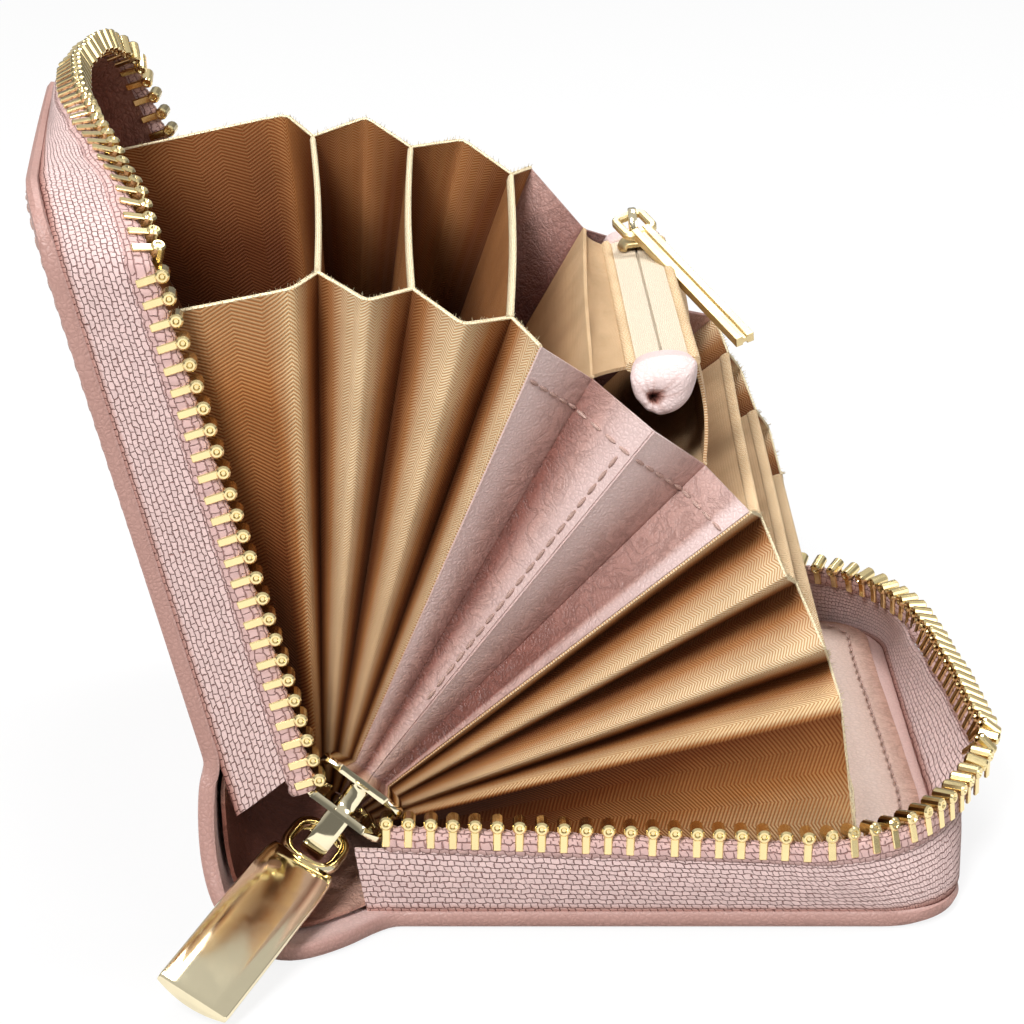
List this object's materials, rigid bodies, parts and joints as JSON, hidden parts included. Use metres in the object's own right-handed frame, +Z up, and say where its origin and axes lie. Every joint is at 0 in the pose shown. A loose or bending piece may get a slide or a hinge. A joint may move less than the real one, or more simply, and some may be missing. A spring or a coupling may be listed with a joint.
{
  "type": "zip-around accordion wallet",
  "caption": "Blush leather wallet with a zip round three sides, open as a fan of pleated gold cloth dividers with a zipped coin pocket.",
  "frame": {"origin": "middle of the bounding box, at ground height", "axes": "+Z up; Y along the spine, with the zip's slider at the -Y end; the lower cover lies flat and reaches towards +X from the spine"},
  "size_m": [0.1532, 0.1494, 0.121],
  "materials": {
    "blush_leather": "pebbled blush leather, satin",
    "blush_tape": "coarse woven zip tape",
    "blush_lining": "smooth blush lining leather",
    "gold_cloth": "gold herringbone cloth",
    "cream_tape": "cream zip tape and nylon coil",
    "tooth_brass": "polished yellow gold",
    "pale_gold": "polished pale gold",
    "card_board": "stiffener board"
  },
  "bodies": {
    "lower_cover": {"lower_leather": "blush_leather", "lower_board": "card_board", "lower_lining": "blush_lining", "lower_fan_sheet": "gold_cloth", "lower_zip_tape": "blush_tape", "lower_zip_chain": "tooth_brass", "lower_zip_stop": "tooth_brass", "spine_leather": "blush_leather", "spine_lining": "blush_lining"},
    "divider_8": {"divider_8": "gold_cloth"},
    "divider_7": {"divider_7": "gold_cloth", "near_gusset_lower": "gold_cloth", "far_gusset_lower": "gold_cloth"},
    "divider_6": {"divider_6": "gold_cloth"},
    "divider_5": {"divider_5": "gold_cloth"},
    "coin_zip": {"coin_tape_left": "cream_tape", "coin_tape_right": "cream_tape", "coin_coil": "cream_tape", "coin_tab_near": "blush_leather", "coin_tab_far": "blush_leather", "near_gusset_pocket": "blush_leather", "far_gusset_pocket": "blush_leather", "coin_wall_left": "gold_cloth", "coin_wall_right": "gold_cloth"},
    "divider_4": {"divider_4": "gold_cloth"},
    "divider_3": {"divider_3": "gold_cloth"},
    "divider_2": {"divider_2": "gold_cloth", "near_gusset_upper": "gold_cloth", "far_gusset_upper": "gold_cloth"},
    "divider_1": {"divider_1": "gold_cloth"},
    "upper_cover": {"upper_leather": "blush_leather", "upper_board": "card_board", "upper_lining": "blush_lining", "upper_fan_sheet": "gold_cloth", "upper_zip_tape": "blush_tape", "upper_zip_chain": "tooth_brass", "upper_zip_stop": "tooth_brass"},
    "main_slider": {"main_slider_body": "pale_gold", "main_slider_bail": "pale_gold"},
    "main_puller": {"main_puller": "pale_gold"},
    "coin_slider": {"coin_slider_body": "pale_gold", "coin_slider_bail": "pale_gold"},
    "coin_puller": {"coin_puller": "pale_gold"}
  },
  "joints": [
    {"name": "cover_opening", "type": "hinge", "parent": "lower_cover", "child": "upper_cover", "pos_m": [-0.02883, 0.00968, 0.0191], "axis": [0, -1, 0], "range_deg": [-101.5, 20], "deforming": ["spine_leather", "spine_lining", "near_gusset_upper", "far_gusset_upper", "near_gusset_pocket", "far_gusset_pocket", "near_gusset_lower", "far_gusset_lower", "coin_wall_left", "coin_wall_right"]},
    {"name": "divider_8_fold", "type": "hinge", "parent": "lower_cover", "child": "divider_8", "pos_m": [-0.02883, 0.00968, 0.0191], "axis": [0, -1, 0], "range_deg": [-22.58, 4.61]},
    {"name": "divider_7_fold", "type": "hinge", "parent": "divider_8", "child": "divider_7", "pos_m": [-0.02883, 0.00968, 0.0191], "axis": [0, -1, 0], "range_deg": [-8.78, 1.89]},
    {"name": "divider_6_fold", "type": "hinge", "parent": "divider_7", "child": "divider_6", "pos_m": [-0.02883, 0.00968, 0.0191], "axis": [0, -1, 0], "range_deg": [-7.69, 1.68]},
    {"name": "divider_5_fold", "type": "hinge", "parent": "divider_6", "child": "divider_5", "pos_m": [-0.02883, 0.00968, 0.0191], "axis": [0, -1, 0], "range_deg": [-7.33, 1.61]},
    {"name": "coin_zip_fold", "type": "hinge", "parent": "divider_5", "child": "coin_zip", "pos_m": [-0.02883, 0.00968, 0.0191], "axis": [0, -1, 0], "range_deg": [-4.96, 1.14]},
    {"name": "divider_4_fold", "type": "hinge", "parent": "coin_zip", "child": "divider_4", "pos_m": [-0.02883, 0.00968, 0.0191], "axis": [0, -1, 0], "range_deg": [-6.13, 1.37]},
    {"name": "divider_3_fold", "type": "hinge", "parent": "divider_4", "child": "divider_3", "pos_m": [-0.02883, 0.00968, 0.0191], "axis": [0, -1, 0], "range_deg": [-8.67, 1.87]},
    {"name": "divider_2_fold", "type": "hinge", "parent": "divider_3", "child": "divider_2", "pos_m": [-0.02883, 0.00968, 0.0191], "axis": [0, -1, 0], "range_deg": [-9.4, 2.01]},
    {"name": "divider_1_fold", "type": "hinge", "parent": "divider_2", "child": "divider_1", "pos_m": [-0.02883, 0.00968, 0.0191], "axis": [0, -1, 0], "range_deg": [-8.62, 1.86]},
    {"name": "main_slider_travel", "type": "slide", "parent": "upper_cover", "child": "main_slider", "axis": [0, -1, 0], "range_m": [0, 0.004]},
    {"name": "main_puller_swing", "type": "hinge", "parent": "main_slider", "child": "main_puller", "pos_m": [-0.02723, -0.04282, 0.013], "axis": [-0.8427, 0.2909, 0.4531], "range_deg": [0, 35]},
    {"name": "coin_slider_travel", "type": "slide", "parent": "coin_zip", "child": "coin_slider", "axis": [0.016, -0.9994, 0.032], "range_m": [0, 0.06]},
    {"name": "coin_puller_swing", "type": "hinge", "parent": "coin_slider", "child": "coin_puller", "pos_m": [0.02045, 0.03818, 0.08323], "axis": [-0.8882, -0.392, -0.2398], "range_deg": [0, 50]}
  ],
  "couplings": [
    {"joint": "divider_8_fold", "follows": "cover_opening", "ratio": 0.22047},
    {"joint": "divider_7_fold", "follows": "cover_opening", "ratio": 0.08452},
    {"joint": "divider_6_fold", "follows": "cover_opening", "ratio": 0.07384},
    {"joint": "divider_5_fold", "follows": "cover_opening", "ratio": 0.07028},
    {"joint": "coin_zip_fold", "follows": "cover_opening", "ratio": 0.04693},
    {"joint": "divider_4_fold", "follows": "cover_opening", "ratio": 0.05845},
    {"joint": "divider_3_fold", "follows": "cover_opening", "ratio": 0.08349},
    {"joint": "divider_2_fold", "follows": "cover_opening", "ratio": 0.09064},
    {"joint": "divider_1_fold", "follows": "cover_opening", "ratio": 0.08292}
  ]
}
